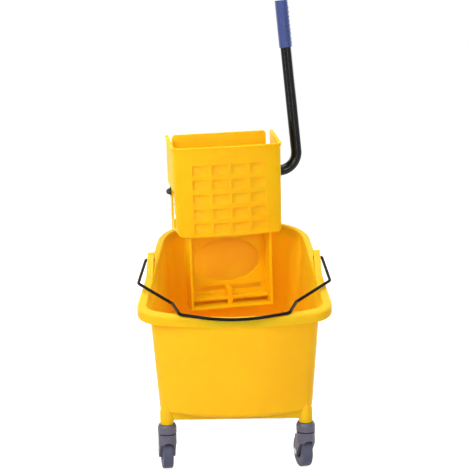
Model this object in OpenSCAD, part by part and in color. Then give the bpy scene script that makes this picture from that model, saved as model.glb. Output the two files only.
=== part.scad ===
// Wheeled mop bucket with a side-press wringer hung on its rear rim.
// Millimetres, +Z up. The origin is on the floor under the middle of the whole unit.
// The bucket's low front edge faces -Y and the wringer stands at +Y.

/* [Bucket] */
// Widest part of the rim, across its front corners
rim_w = 366; // [358:1:374]
// Width at which the rim's two sides would reach the rear corners
rim_rear_w = 319; // [312:1:326]
// Rim length from the bowed front edge to the rear edge
rim_len = 436; // [430:1:444]
// Height of the rim's top at its front edge
rim_front_z = 310.5; // [306:0.5:315]
// Rise of the rim from the front edge to the rear edge
rim_rise = 105.5; // [100:0.5:110]
// Corner radius of the rim at the front
rim_r_front = 47; // [43:1:51]
// Corner radius of the rim at the rear
rim_r_rear = 96; // [90:1:102]
// Angle by which the bowed front edge runs into its corners
rim_bow = 13; // [11:1:15]
// Width of the flat flange at the opening's front corners
flange_w = 18; // [16:0.5:20]
// Width of the flange where the sides reach the rear corners
flange_side_w = 14; // [12:0.5:16]
// Width of the flange at the rear edge
flange_rear_w = 10; // [9:0.5:12]
// Angle by which the opening's bowed front edge runs into its corners
neck_bow = 21; // [19:1:23]
// Thickness of the flange and of the apron that hangs from it
flange_t = 3.2; // [2.6:0.2:4]
// Height of the apron
apron_h = 18.5; // [16:0.5:21]
// Radius on the flange's outer edge
rim_edge_r = 4; // [3:0.5:5]
// Wall thickness of the tub
tub_t = 3; // [2.6:0.2:3.6]
// Width of the tub just under the apron
body_top_w = 319; // [312:1:324]
// Width of the tub at its lower edge
body_bottom_w = 292; // [288:1:296]
// Corner radius of the tub at the front
body_r_front = 32; // [28:1:36]
// Angle by which the tub's bowed front wall runs into its corners
body_bow = 28; // [25:1:30]
// How far the bulged front wall stays behind the apron's face
spout_set = 2; // [1.6:0.2:3]
// Lean of the front wall from the apron to the lower edge
front_draft = 11; // [9:1:13]
// Lean of the rear wall from the apron to the lower edge
rear_draft = 24; // [20:1:28]
// Height of the tub's underside
tub_bottom_z = 115; // [114:0.5:117]
// Radius of the tub's lower edge
tub_edge_r = 9; // [7:1:11]

/* [Feet] */
// Height of the lower ends of the caster posts
post_bottom_z = 93; // [92:0.5:95]
// Radius of the caster posts
post_r = 13; // [12.5:0.5:14]
// Height at which a post has run into the corner of the tub
post_blend_z = 150; // [140:1:165]
// Front posts, from the middle plane
front_post_x = 132; // [130:1:134]
// Front posts, from the rim's front edge
front_post_y = 57; // [56:1:60]
// Rear posts, from the middle plane
rear_post_x = 97; // [94:1:100]
// Rear posts, ahead of the rim's rear edge
rear_post_y = 81; // [78:1:86]
// Height of the lower edge of the skirt between the posts
skirt_z = 102; // [99:1:106]
// Thickness of the skirt
skirt_t = 3; // [2.5:0.5:4]
// Distance of the skirt's front face from the rim's front edge
skirt_front_y = 50; // [49:1:53]

/* [Bail] */
// Pivot of the bail, from the rim's front edge
pivot_y = 233; // [228:1:240]
// Height of the pivot above the rim
ear_rise = 9.5; // [8.5:0.5:11]
// Radius of the ear around the pivot
ear_r = 15; // [13:1:17]
// Thickness of the ear
ear_t = 12.5; // [11:0.5:14]
// How far the ear stands out from the rim
ear_stand = 3; // [2:0.5:4]
// How far ahead of the pivot the ear's slope meets the flange
ear_fair = 78; // [70:1:84]
// How far the ear's rib reaches below the pivot
ear_drop = 50; // [44:1:54]
// Radius of the bail wire
bail_r = 3; // [2.6:0.1:3.3]
// Length of the bail from its pivots to its middle
bail_len = 262; // [260:1:266]
// How far the bail's arms run before they turn inward
bail_arm = 102; // [95:1:108]
// Largest half width of the bail, at that turn
bail_half_w = 185; // [184:1:190]
// Half width where the bail's arms reach the jog
bail_jog_w = 116; // [114:1:120]
// Distance of the jog's start from the pivots
bail_jog_len = 186; // [180:1:190]
// Half width of the hand span between the jogs
bail_span_w = 101; // [97:1:104]
// How far the hand span sags from its ends to its middle
bail_sag = 33; // [30:1:36]
// Bend radius of the bail at its turns
bail_bend_r = 13; // [10:0.5:15]

/* [Casters] */
// Radius of the caster wheel
wheel_r = 31; // [30:0.5:31.5]
// Width of the caster wheel
wheel_w = 20; // [18:0.5:21]
// Radius of the wheel's hub
hub_r = 15; // [13:0.5:17]
// Distance of the wheel's axle behind the swivel axis
trail = 16; // [15:0.5:18]
// Radius of the caster's upper cup
cup_r = 18; // [17:0.5:19]
// Height of the cup
cup_h = 19; // [18:0.5:20]
// Thickness of the fork's top plate
fork_top_t = 8.5; // [8:0.25:9]
// Height of the hood's lower front edge
hood_z = 53; // [51:0.5:55]
// Thickness of the fork's legs
leg_t = 4.6; // [4:0.2:5]
// Side gap between the wheel and a leg
wheel_gap = 1; // [0.8:0.1:1.4]
// Radius of the fork's legs around the axle
leg_r = 9; // [8:0.5:10]
// Radius of the caster's stem
stem_r = 5.5; // [5:0.1:5.5]
// Length of the stem inside the post
stem_in = 20; // [17:0.5:21]
// Radius of the wheel's axle
wheel_axle_r = 3; // [2.6:0.1:3.4]
// Swivel of the front left caster as it stands
front_left_turn = 9; // [0:1:20]
// Swivel of the front right caster as it stands
front_right_turn = 16; // [0:1:30]
// Swivel of the rear left caster as it stands
rear_left_turn = 12; // [0:1:30]
// Swivel of the rear right caster as it stands
rear_right_turn = 6; // [0:1:30]

/* [Wringer place] */
// Angle by which the loosely hung wringer has turned on the rim
wringer_turn = 12; // [0:1:13]
// Angle by which it has tipped to its left side
wringer_tip = 1; // [0:0.5:2]
// Sideways place of the wringer's middle at its front
wringer_shift = -2.5; // [-6:0.5:2]
// Place of the wringer's front face, ahead of the rim's rear edge
wringer_y = 131; // [129:1:134]
// Gap between the hook and the rim that it hangs on
seat_gap = 0.4; // [0.3:0.1:0.8]

/* [Front jaw] */
// Width of the front jaw over its cheeks
jaw_w = 226; // [222:1:230]
// Width of the front plate at its lower edge
jaw_low_w = 221; // [217:1:225]
// Height of the jaw's lower edge, from the shelf's underside
jaw_bottom_z = -7; // [-9:0.2:-4]
// Height of the front plate
jaw_h = 184; // [179:1:189]
// Extra height of the cheeks at their rear edge
cheek_rise = 24; // [18:1:28]
// Depth of the jaw from its front face to the cheeks' rear edge
jaw_depth = 101; // [100:0.5:103]
// Wall thickness of the jaw
jaw_t = 4.5; // [4:0.25:5]
// Radius of the bowed front plate
jaw_bow_r = 364; // [340:1:420]
// Radius of the jaw's upright corners
jaw_corner_r = 14; // [12:0.5:16]
// Radius of the front plate's lower corners
jaw_foot_r = 14; // [10:1:16]
// Height of the cheeks' lower edge above the jaw's lower edge
cheek_low = 94; // [92:1:100]
// How far the rim bead stands out from the jaw
bead_out = 2.4; // [1.8:0.1:3]
// Height of the rim bead
bead_h = 8; // [6:0.5:9]
// How far the lower lip stands out from the jaw
lip_out = 1.4; // [1:0.1:2]
// Extra thickness behind the front plate's field of pockets
field_d = 6; // [4:0.5:7]
// Depth of the pockets in the front plate, at their upper left
pocket_d = 6.5; // [5:0.5:7.5]
// Width of a pocket
pocket_w = 34; // [32:0.5:35.5]
// Height of a pocket
pocket_h = 20; // [18.5:0.5:21.5]
// Distance between the columns of pockets
pocket_pitch_x = 39.8; // [38.5:0.1:41]
// Distance between the rows of pockets
pocket_pitch_z = 30; // [29:0.1:31]
// Height of the lowest pockets' lower edge above the jaw's lower edge
pocket_low = 7.5; // [6.5:0.5:9]

/* [Wringer frame] */
// Width of the tray inside the bucket
tray_w = 173; // [168:1:176]
// Height of the tray's lower edge, from the shelf's underside
tray_z = -162.2; // [-166.2:0.2:-154.2]
// Place of the tray's front edges, behind the jaw's front
tray_front = 18; // [17.5:0.5:20]
// Depth of the tray
tray_depth = 56; // [52:1:57]
// Wall thickness of the tray
tray_t = 4.5; // [4:0.25:5]
// Width of the oval opening
oval_w = 142; // [136:1:146]
// Height of the oval opening
oval_h = 90; // [84:1:94]
// Height of the oval's middle, from the shelf's underside
oval_z = -69.7; // [-72.2:0.1:-66.2]
// Height of the slotted band below the oval
band_h = 38; // [34:1:40]
// Width of the band's middle rib
rib_w = 10; // [8:0.5:12]
// Thickness of the shelf that joins tray, straps and hook
shelf_t = 6; // [5:0.5:7]
// Width of the straps that carry the axle
strap_w = 16; // [14:0.5:18]
// Thickness of the straps
strap_t = 3.5; // [3:0.25:4]
// Width of the hook
hook_w = 84; // [76:1:90]
// Thickness of the hook's lip
hook_t = 4.5; // [4:0.25:5.5]
// How far the hook's lip reaches down behind the rim
hook_drop = 24; // [20:1:28]

/* [Press] */
// Width of the press plate
plate_w = 199; // [194:1:200]
// Sideways shift of the press plate
plate_shift = -4; // [-4:0.5:0]
// Radius of the press plate's upper corners
plate_corner_r = 8; // [5:0.5:10]
// Thickness of the press plate
plate_t = 4; // [3.5:0.25:4.5]
// Height of the press plate above its hinge rod
plate_h = 182; // [176:1:186]
// Width of the press plate's bent ends
plate_end_w = 15; // [12:1:18]
// How far the ends are bent back
plate_end_back = 3; // [2:0.5:3.5]
// Place of the hinge rod, behind the jaw's front
hinge_y = 80; // [79:0.5:81]
// Height of the hinge rod above the shelf
hinge_rise = 10; // [9.5:0.25:11]
// Radius of the hinge rod
hinge_r = 3; // [2.6:0.1:3.4]
// Radius of the plate's hinge barrel
barrel_r = 7; // [6.5:0.25:7.5]
// Swing of the press plate at the end of the lever's stroke
plate_swing = 19; // [16:0.5:19]

/* [Lever] */
// Place of the axle, behind the jaw's front
axle_y = 98; // [97.5:0.5:99]
// Height of the axle above the shelf's underside
axle_z = 78.8; // [75.8:0.2:81.8]
// Radius of the axle rod
axle_r = 5; // [4.5:0.1:5.4]
// Swing of the lever from upright to fully pressed
lever_swing = 75; // [70:1:78]
// Outer radius of the lever tube
lever_r = 11.4; // [10.6:0.1:12]
// Wall thickness of the lever tube
lever_t = 2; // [1.5:0.1:2.5]
// Height of the tube's foot above the axle, on the crank
lever_rise = 30; // [28:0.5:31]
// Lean of the tube's upper run toward the wringer
lever_lean = 4.5; // [3.5:0.5:6]
// Length of the tube's upper run from the bend
lever_upper = 312; // [304:1:320]
// Straight run of the tube's foot before its bend
lever_foot = 13.5; // [11:0.5:15]
// Bend radius of the lever tube
lever_bend_r = 37.5; // [34:0.5:41]
// Radius of the crank's rounded ends
sleeve_r = 12.5; // [12.25:0.25:13]
// Thickness of the crank
crank_t = 6; // [5:0.5:7]
// Radius of the grip
grip_r = 13.4; // [13:0.1:14.4]
// Length of the grip
grip_l = 97; // [90:1:104]
// Closed end of the grip above the tube
grip_cap = 4; // [3:0.5:6]
// Distance between the grip's finger ridges
ridge_pitch = 9; // [8:0.5:10]
// Radius of a finger ridge
ridge_r = 1.6; // [1.2:0.1:2]
// Place of the cams, from the wringer's middle plane
cam_x = 58; // [54:1:60]
// Thickness of a cam
cam_t = 12; // [10:0.5:14]
// Radius of a cam's hub
cam_hub_r = 12; // [11:0.5:13]
// Outer radius of an axle bush
bush_r = 8; // [7.5:0.25:8.5]
// Radius of a bush's flange
bush_flange_r = 9.5; // [9:0.25:11]
// Thickness of a bush's flange
bush_flange_t = 1.5; // [1.25:0.25:2]
// Radius of the cap nut on the axle's left end
nut_r = 6.5; // [6:0.25:7]
// Radius of the strap's boss around the axle
boss_r = 16; // [15:0.5:17]
// Radius of the torsion spring's wire
spring_wire_r = 1; // [0.8:0.1:1.2]
// Mean radius of the torsion spring
spring_r = 10.5; // [10:0.25:11]
// Distance between the spring's curls
spring_pitch = 3.4; // [3.2:0.1:3.6]
// Length of the spring's two legs
spring_leg = 26; // [22:1:28]
// Radius of the screws that go through the straps into the jaw's cheeks
screw_r = 2.5; // [2:0.1:3]
// Radius of their heads
screw_head_r = 5; // [4.5:0.25:5.5]
// Height of their heads
screw_head_h = 2.4; // [2:0.2:3]

/* [Fits] */
// Radial running clearance of turning pieces
run_fit = 0.06; // [0.04:0.01:0.09]
// Gap between pieces that pass each other
pass_gap = 0.5; // [0.4:0.1:0.8]
// Overrun of cutting shapes
over = 20; // [16:1:24]

/* [Hidden] */
$fn = 64;

// Steps on the tub's outlines and on the cams
bow_n = 8;
corner_n = 8;
rear_n = 14;
cam_n = 12;
oval_n = 56;
columns = 4;
rows = 5;
curls = 6;
curl_rings = 8;
wire_sides = 6;
edge_share = 0.3;
half_share = 0.5;
lap_share = 0.06;
run_share = 0.995;
plug_angle = 14;

// Heights and outlines of the tub
rim_slope = atan(rim_rise / rim_len);
floor_z = tub_bottom_z + tub_t;
rim_o = [rim_w / 2, 0, rim_bow, rim_r_front, rim_rear_w / 2, rim_len, rim_r_rear];
neck_o = [rim_w / 2 - flange_w + tub_t, rim_edge_r + tub_t * half_share, neck_bow, rim_r_front - flange_w + tub_t,
    rim_rear_w / 2 - flange_side_w + tub_t, rim_len - flange_rear_w + tub_t, rim_r_rear - flange_side_w + tub_t];
body_top_o = [body_top_w / 2, spout_set, body_bow, body_r_front,
    neck_o[4], neck_o[5], neck_o[6]];
body_low_o = [body_bottom_w / 2, spout_set + front_draft, body_bow, body_r_front,
    neck_o[4] - rear_draft, neck_o[5] - rear_draft, neck_o[6] - rear_draft];
pivot_z = rim_z(pivot_y) + ear_rise;
ear_out = side_x(rim_o, pivot_y) + ear_stand;
ear_foot_share = 0.6;
hook_share = 0.7;
pin_share = 1.2;
cell_share = 0.62;
span_share = 0.76;
slope_share = 0.5;
run_out_share = 0.35;
bead_n = 3;

// Bail at rest: its arms lie just clear of the rim
bail_rest_gap = pass_gap;
bail_tilt = rim_slope + asin((ear_rise * cos(rim_slope) - bail_r - bail_rest_gap) / (bail_len - bail_sag));
bail_pin_r = bail_r * pin_share;
bail_pin_x = ear_out + pass_gap + bail_pin_r;
bail_pin_in = ear_out - ear_t - pass_gap;
bail_span_r = bail_len * span_share;

// Caster heights
fork_top_z = post_bottom_z - cup_h - pass_gap;
fork_top_low = fork_top_z - fork_top_t;
stem_head_r = stem_r + leg_t * edge_share;
stem_head_t = fork_top_t * edge_share;
slot_w = wheel_w + 2 * wheel_gap;
fork_w = slot_w + 2 * leg_t;
hood_clear_r = wheel_r + 2 * wheel_gap;
hood_r = cup_r - pass_gap;
arch_r = slot_w * half_share;
corner_names = ["front_left", "front_right", "rear_left", "rear_right"];
post_places = [
    [-front_post_x, front_post_y],
    [front_post_x, front_post_y],
    [-rear_post_x, rim_len - rear_post_y],
    [rear_post_x, rim_len - rear_post_y]
];
caster_turns = [front_left_turn, front_right_turn, -rear_left_turn, rear_right_turn];

// Wringer: the shelf rests over the rear rim, the hook's lip clears it at any turn.
// Heights on the wringer count from the shelf's underside.
seat_z = rim_z(rim_len - rim_edge_r) + seat_gap + hook_w / 2 * sin(wringer_tip);
shelf_top = shelf_t;
jaw_top_z = jaw_bottom_z + jaw_h;
jaw_in = jaw_w / 2 - jaw_t;
strap_out = jaw_in - pass_gap;
strap_in = strap_out - strap_t;
shelf_front = tray_front + jaw_corner_r + over * half_share * half_share;
wringer_front = rim_len - wringer_y;
hook_in = wringer_y / cos(wringer_turn) + hook_w / 2 * tan(wringer_turn) + pass_gap;
hook_out = hook_in + hook_t;
hinge_z = shelf_top + hinge_rise;
lug_w = strap_t;
lug_in = strap_in - 2 * strap_t;
fin_depth = tray_depth * edge_share * half_share;
ledge_depth = tray_depth * half_share;
band_top = tray_z + band_h;
strap_top_z = jaw_top_z - jaw_foot_r;
nut_x = strap_out + bush_flange_t + pass_gap;
nut_l = nut_r + bush_flange_t;
sleeve_x = strap_out + bush_flange_t + pass_gap;
crank_x = jaw_w / 2 + 2 * pass_gap;
crank_out = crank_x + crank_t;
swing_ratio = plate_swing / lever_swing;
hook_at = [-spring_r * hook_share, spring_leg - spring_wire_r];
bear_y = -strap_w / 2 - spring_wire_r - pass_gap;
screw_end = jaw_w / 2 - jaw_t * edge_share - pass_gap;
screw_rows = [jaw_h - 2 * jaw_foot_r, jaw_h - 2 * jaw_foot_r - pocket_pitch_z];

// Whole length, from the bail's hand span to the hook's rear corner
front_end = pivot_y - bail_len_top() * cos(bail_tilt) - bail_r;
rear_end = wringer_front + hook_w / 2 * sin(wringer_turn) + hook_out * cos(wringer_turn);
y_mid = (front_end + rear_end) / 2;

// Rim height at a distance from the rim's front edge
function rim_z(y) = rim_front_z + rim_rise * y / rim_len;

// An outline is [half width, front y, bow angle, front radius, rear half width, rear y, rear radius]
function inset(o, d) = [o[0] - d, o[1] + d, o[2], o[3] - d, o[4] - d, o[5] - d, o[6] - d];

// The bowed front ends here, where its front corner begins
function bow_end(o) =
    let (x = o[0] - o[3] + o[3] * sin(o[2]))
    [x, o[1] + x * tan(o[2]) / 2];

// Middles of an outline's front and rear corners, and the angle of the side between them
function front_c(o) = [o[0] - o[3], bow_end(o)[1] + o[3] * cos(o[2])];
function rear_c(o) = [o[4] - o[6], o[5] - o[6]];
function side_angle(o) =
    let (d = rear_c(o) - front_c(o))
    atan2(d[1], d[0]) - acos((o[3] - o[6]) / norm(d));

// Half width of an outline's straight side at a place along it
function side_x(o, y) =
    let (n = [cos(side_angle(o)), sin(side_angle(o))])
    let (a = front_c(o) + o[3] * n)
    let (b = rear_c(o) + o[6] * n)
    a[0] + (b[0] - a[0]) * (y - a[1]) / (b[1] - a[1]);

function arc_at(c, r, from, to, n) =
    [for (i = [0 : n]) c + r * [cos(from + (to - from) * i / n), sin(from + (to - from) * i / n)]];

function half_ring(o) =
    let (e = bow_end(o))
    concat(
        [for (i = [0 : bow_n - 1]) [e[0] * i / bow_n, o[1] + (e[1] - o[1]) * pow(i / bow_n, 2)]],
        arc_at(front_c(o), o[3], o[2] - 90, side_angle(o), corner_n),
        arc_at(rear_c(o), o[6], side_angle(o), 90, rear_n),
        [[0, o[5]]]
    );

function ring(o) =
    let (h = half_ring(o))
    concat(h, [for (i = [len(h) - 2 : -1 : 1]) [-h[i][0], h[i][1]]]);

// Rings at a level height, and at a height measured from the sloped rim
function level_ring(o, z) = [for (p = ring(o)) [p[0], p[1], z]];
function rim_ring(o, z) = [for (p = ring(o)) [p[0], p[1], rim_z(p[1]) + z]];

function flat(list) = [for (part = list) each part];

// Two triangles for each step between ring k and the ring after it
function band(k, n, count) =
    [for (i = [0 : n - 1])
        let (a = k * n + i)
        let (b = k * n + (i + 1) % n)
        let (c = ((k + 1) % count) * n + i)
        let (d = ((k + 1) % count) * n + (i + 1) % n)
        each [[a, c, d], [a, d, b]]];

// A solid between rings that rise one above the other, closed at both ends
module loft(rings) {
    n = len(rings[0]);
    count = len(rings);
    bottom = [for (i = [0 : n - 1]) i];
    top = [for (i = [n - 1 : -1 : 0]) (count - 1) * n + i];
    sides = [for (k = [0 : count - 2]) each band(k, n, count)];
    polyhedron(flat(rings), concat([bottom], sides, [top]));
}

// A closed band whose last ring joins its first
module hoop(rings) {
    n = len(rings[0]);
    count = len(rings);
    polyhedron(flat(rings), [for (k = [0 : count - 1]) each band(k, n, count)]);
}

module unit() translate([0, -y_mid, 0]) children();

module on_wringer() {
    unit() translate([wringer_shift, wringer_front, seat_z]) rotate([0, -wringer_tip, wringer_turn]) children();
}

module at_caster(i) {
    unit() translate([post_places[i][0], post_places[i][1], 0]) rotate([0, 0, caster_turns[i]]) children();
}

// A rod along X, and a plate given by its outline in Y and Z
module rod_x(r, x0, x1) translate([x0, 0, 0]) rotate([0, 90, 0]) cylinder(r = r, h = x1 - x0);
module plate_x(x0, x1) translate([x0, 0, 0]) rotate([90, 0, 90]) linear_extrude(x1 - x0) children();

// The tub: outer shape and flange, with feet and ears, hollowed by its cavity
module tub_outer() {
    lip = -apron_h - flange_t;
    loft([
        level_ring(inset(body_low_o, tub_edge_r), tub_bottom_z),
        level_ring(inset(body_low_o, tub_edge_r * edge_share), tub_bottom_z + tub_edge_r * edge_share),
        level_ring(body_low_o, tub_bottom_z + tub_edge_r),
        rim_ring(body_top_o, lip),
        rim_ring(neck_o, -flange_t / 2)
    ]);
}

module tub_cavity() {
    lip = -apron_h - flange_t;
    loft([
        level_ring(inset(body_low_o, tub_edge_r + tub_t), floor_z),
        level_ring(inset(body_low_o, tub_edge_r * edge_share + tub_t), floor_z + tub_edge_r * edge_share),
        level_ring(inset(body_low_o, tub_t), floor_z + tub_edge_r),
        rim_ring(inset(body_top_o, tub_t), lip),
        rim_ring(inset(neck_o, tub_t), -flange_t),
        rim_ring(inset(neck_o, tub_t), over)
    ]);
}

module tub_flange() {
    hoop([
        rim_ring(inset(rim_o, flange_t), -apron_h),
        rim_ring(rim_o, -apron_h),
        rim_ring(rim_o, -rim_edge_r),
        rim_ring(inset(rim_o, rim_edge_r * edge_share), -rim_edge_r * edge_share),
        rim_ring(inset(rim_o, rim_edge_r), 0),
        rim_ring(inset(neck_o, tub_t * half_share), 0),
        rim_ring(inset(neck_o, tub_t * half_share), -flange_t),
        rim_ring(inset(rim_o, flange_t), -flange_t)
    ]);
}

module tub_post(place) {
    translate([place[0], place[1], post_bottom_z]) cylinder(r = post_r, h = floor_z - post_bottom_z);
    translate([place[0], place[1], floor_z])
        cylinder(r1 = post_r, r2 = post_r * half_share, h = post_blend_z - floor_z);
}

module tub_skirt() {
    out = skirt_t * half_share;
    x0 = front_post_x;
    x1 = rear_post_x;
    y0 = skirt_front_y;
    y1 = rim_len - rear_post_y;
    translate([0, 0, skirt_z]) linear_extrude(floor_z - skirt_z) difference() {
        polygon([[-x0 - out, y0], [x0 + out, y0], [x1 + out, y1 + out], [-x1 - out, y1 + out]]);
        polygon([
            [-x0 + out, y0 + skirt_t], [x0 - out, y0 + skirt_t],
            [x1 - out, y1 - out], [-x1 + out, y1 - out]
        ]);
    }
}

module tub_ear() {
    foot = ear_r * ear_foot_share;
    fair_z = rim_z(pivot_y - ear_fair) - pivot_z;
    top = ear_r * half_share;
    translate([0, pivot_y, pivot_z]) {
        rod_x(ear_r, ear_out - ear_t, ear_out);
        plate_x(ear_out - ear_t, ear_out)
            polygon([[-ear_fair, fair_z - flange_t], [0, -ear_rise - flange_t], [0, top],
                [-top, ear_r * cos(asin(half_share))], [-ear_fair, fair_z]]);
        plate_x(ear_out - ear_t, ear_out)
            polygon([[-ear_r, 0], [-foot, -ear_drop], [foot, -ear_drop], [ear_r, 0]]);
    }
}

module bucket() {
    color("gold") unit() difference() {
        union() {
            difference() {
                union() {
                    tub_outer();
                    tub_flange();
                    for (place = post_places) tub_post(place);
                    tub_skirt();
                }
                tub_cavity();
            }
            tub_ear();
            mirror([1, 0, 0]) tub_ear();
        }
        translate([0, pivot_y, pivot_z]) rod_x(bail_r + run_fit, -rim_w, rim_w);
        for (place = post_places) translate([place[0], place[1], post_bottom_z - over])
            cylinder(r = stem_r + run_fit, h = over + stem_in);
    }
}

// Casters: fixed stems and cups, then a fork with its wheel at each corner
module stem() {
    head_z = fork_top_low - pass_gap - stem_head_t;
    translate([0, 0, head_z]) cylinder(r = stem_head_r, h = stem_head_t);
    translate([0, 0, head_z]) cylinder(r = stem_r, h = post_bottom_z + stem_in - pass_gap - head_z);
}

module caster_stems() color("silver") for (i = [0 : 3]) at_caster(i) stem();

module cup() {
    low = post_bottom_z - cup_h;
    edge = stem_head_t;
    rotate_extrude() polygon([
        [stem_r + run_fit, low], [cup_r - edge, low], [cup_r, low + edge],
        [cup_r, post_bottom_z - 2 * edge], [post_r + edge, post_bottom_z], [stem_r + run_fit, post_bottom_z]
    ]);
}

module caster_cups() color("slategray") for (i = [0 : 3]) at_caster(i) cup();

module fork_leg() {
    plate_x(slot_w / 2, fork_w / 2) {
        translate([trail, wheel_r]) circle(r = leg_r);
        polygon([
            [-hood_r * half_share, fork_top_low], [-hood_r * half_share, hood_z], [trail - leg_r, wheel_r],
            [trail + leg_r, wheel_r], [hood_r * half_share + leg_r, fork_top_low]
        ]);
    }
}

module fork() {
    difference() {
        union() {
            translate([0, 0, hood_z]) cylinder(r = hood_r, h = fork_top_z - hood_z);
            fork_leg();
            mirror([1, 0, 0]) fork_leg();
        }
        translate([0, trail, wheel_r]) rod_x(hood_clear_r, -slot_w / 2, slot_w / 2);
        translate([-slot_w / 2, -hood_r + leg_t, 0]) cube([slot_w, hood_r * 3, fork_top_low]);
        translate([0, -hood_r - over, hood_z - arch_r * half_share]) rotate([-90, 0, 0])
            cylinder(r = arch_r, h = over + hood_r);
        translate([0, 0, hood_z]) cylinder(r = stem_r + run_fit, h = over + cup_h);
        translate([0, trail, wheel_r]) rod_x(wheel_axle_r, -fork_w, fork_w);
    }
}

module wheel_axle() {
    head = wheel_axle_r * 2;
    translate([0, trail, wheel_r]) {
        rod_x(wheel_axle_r, -fork_w / 2, fork_w / 2);
        for (side = [0, 1]) mirror([side, 0, 0]) rod_x(head, fork_w / 2, fork_w / 2 + wheel_gap);
    }
}

module turned_wheel() translate([0, trail, wheel_r]) rotate([0, 90, 0]) rotate_extrude() children();

module hub() {
    rim = wheel_w / 2 - wheel_gap;
    web = rim * half_share;
    boss = wheel_axle_r * 2.5;
    bore = wheel_axle_r + run_fit;
    lip = hub_r - wheel_gap * 2;
    turned_wheel() polygon([
        [bore, -wheel_w / 2], [boss, -wheel_w / 2], [boss, -web], [lip, -web],
        [lip, -rim], [hub_r, -rim], [hub_r, rim], [lip, rim],
        [lip, web], [boss, web], [boss, wheel_w / 2], [bore, wheel_w / 2]
    ]);
}

module tyre() {
    edge = wheel_w * edge_share * half_share;
    flank = wheel_w / 2;
    turned_wheel() {
        difference() {
            translate([hub_r, -flank]) square([wheel_r - hub_r, wheel_w]);
            for (side = [0, 1]) mirror([0, side]) translate([wheel_r - edge, flank - edge]) difference() {
                square(edge + over);
                circle(r = edge);
            }
        }
    }
}

module front_left_fork() color("slategray") at_caster(0) fork();
module front_left_axle() color("silver") at_caster(0) wheel_axle();
module front_left_hub() color("slategray") at_caster(0) hub();
module front_left_tyre() color("dimgray") at_caster(0) tyre();
module front_right_fork() color("slategray") at_caster(1) fork();
module front_right_axle() color("silver") at_caster(1) wheel_axle();
module front_right_hub() color("slategray") at_caster(1) hub();
module front_right_tyre() color("dimgray") at_caster(1) tyre();
module rear_left_fork() color("slategray") at_caster(2) fork();
module rear_left_axle() color("silver") at_caster(2) wheel_axle();
module rear_left_hub() color("slategray") at_caster(2) hub();
module rear_left_tyre() color("dimgray") at_caster(2) tyre();
module rear_right_fork() color("slategray") at_caster(3) fork();
module rear_right_axle() color("silver") at_caster(3) wheel_axle();
module rear_right_hub() color("slategray") at_caster(3) hub();
module rear_right_tyre() color("dimgray") at_caster(3) tyre();

// A round wire along a flat path: a torus bend at each corner, with the straight runs let into them a little
function turn_half(p, i) =
    let (u = (p[i - 1] - p[i]) / norm(p[i - 1] - p[i]))
    let (v = (p[i + 1] - p[i]) / norm(p[i + 1] - p[i]))
    acos(u * v) / 2;

function cut_back(p, i, radii) = i == 0 || i == len(p) - 1 ? 0 : radii[i] / tan(turn_half(p, i));

module wire_run(a, b, r) {
    d = b - a;
    translate([a[0], a[1], 0]) rotate([0, 0, atan2(d[1], d[0])]) rod_x(r, 0, norm(d));
}

module wire_turn(p, i, radii, r) {
    u = (p[i - 1] - p[i]) / norm(p[i - 1] - p[i]);
    v = (p[i + 1] - p[i]) / norm(p[i + 1] - p[i]);
    half = turn_half(p, i);
    mid = (u + v) / norm(u + v);
    c = p[i] + mid * radii[i] / sin(half);
    sweep = 180 - 2 * half;
    middle = atan2(-mid[1], -mid[0]);
    translate([c[0], c[1], 0]) rotate([0, 0, middle - sweep / 2])
        rotate_extrude(angle = sweep) translate([radii[i], 0]) circle(r = r);
}

module wire(p, radii, r) {
    last = len(p) - 1;
    for (i = [0 : last - 1]) {
        d = (p[i + 1] - p[i]) / norm(p[i + 1] - p[i]);
        lap = d * r * lap_share;
        start = i == 0 ? p[i] : p[i] + d * cut_back(p, i, radii) - lap;
        end = i == last - 1 ? p[i + 1] : p[i + 1] - d * cut_back(p, i + 1, radii) + lap;
        wire_run(start, end, r * run_share);
    }
    for (i = [1 : last - 1]) wire_turn(p, i, radii, r);
}

// The bail's path, across and along its arms, from one pin over the hand span to the other
function bail_half() = [
    [bail_pin_in, 0], [bail_pin_x, 0], [bail_half_w, bail_arm],
    [bail_jog_w, bail_jog_len], [bail_span_w, bail_len - bail_sag]
];
function bail_path() =
    let (h = bail_half())
    concat(h, [[0, bail_len]], [for (i = [len(h) - 1 : -1 : 0]) [-h[i][0], h[i][1]]]);

// The hand span's bend takes its middle a little short of the path's corner
function bail_len_top() =
    let (p = bail_path())
    let (half = turn_half(p, 5))
    bail_len - bail_span_r / sin(half) + bail_span_r;

module bail_wire() {
    p = bail_path();
    radii = [0, bail_pin_r, bail_bend_r, bail_bend_r, bail_bend_r, bail_span_r,
        bail_bend_r, bail_bend_r, bail_bend_r, bail_pin_r, 0];
    color("black") unit() translate([0, pivot_y, pivot_z]) rotate([bail_tilt, 0, 0]) rotate([0, 0, 180])
        wire(p, radii, bail_r);
}

// Front jaw: a bowed plate that narrows downward, with cheeks that end at a fixed width
function jaw_half_w(z) = (jaw_low_w + (jaw_w - jaw_low_w) * (z - jaw_bottom_z) / jaw_h) / 2;

function jaw_side(d, z, rear) =
    let (r = jaw_bow_r + d)
    let (corner = jaw_corner_r + d)
    let (end = asin((jaw_half_w(z) + d - corner) / (r - corner)))
    let (c = [(r - corner) * sin(end), jaw_bow_r - (r - corner) * cos(end)])
    concat(
        arc_at([0, jaw_bow_r], r, -90, end - 90, bow_n),
        arc_at(c, corner, end - 90, 0, corner_n),
        [[jaw_w / 2 + d, jaw_depth * half_share], [jaw_w / 2 + d, rear]]
    );

function jaw_ring(d, z, rear) =
    let (h = jaw_side(d, z, rear))
    [for (p = concat(h, [for (i = [len(h) - 1 : -1 : 1]) [-h[i][0], h[i][1]]])) [p[0], p[1], z]];

module jaw_solid(d, z0, z1, rear) loft([jaw_ring(d, z0, rear), jaw_ring(d, z1, rear)]);

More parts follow.
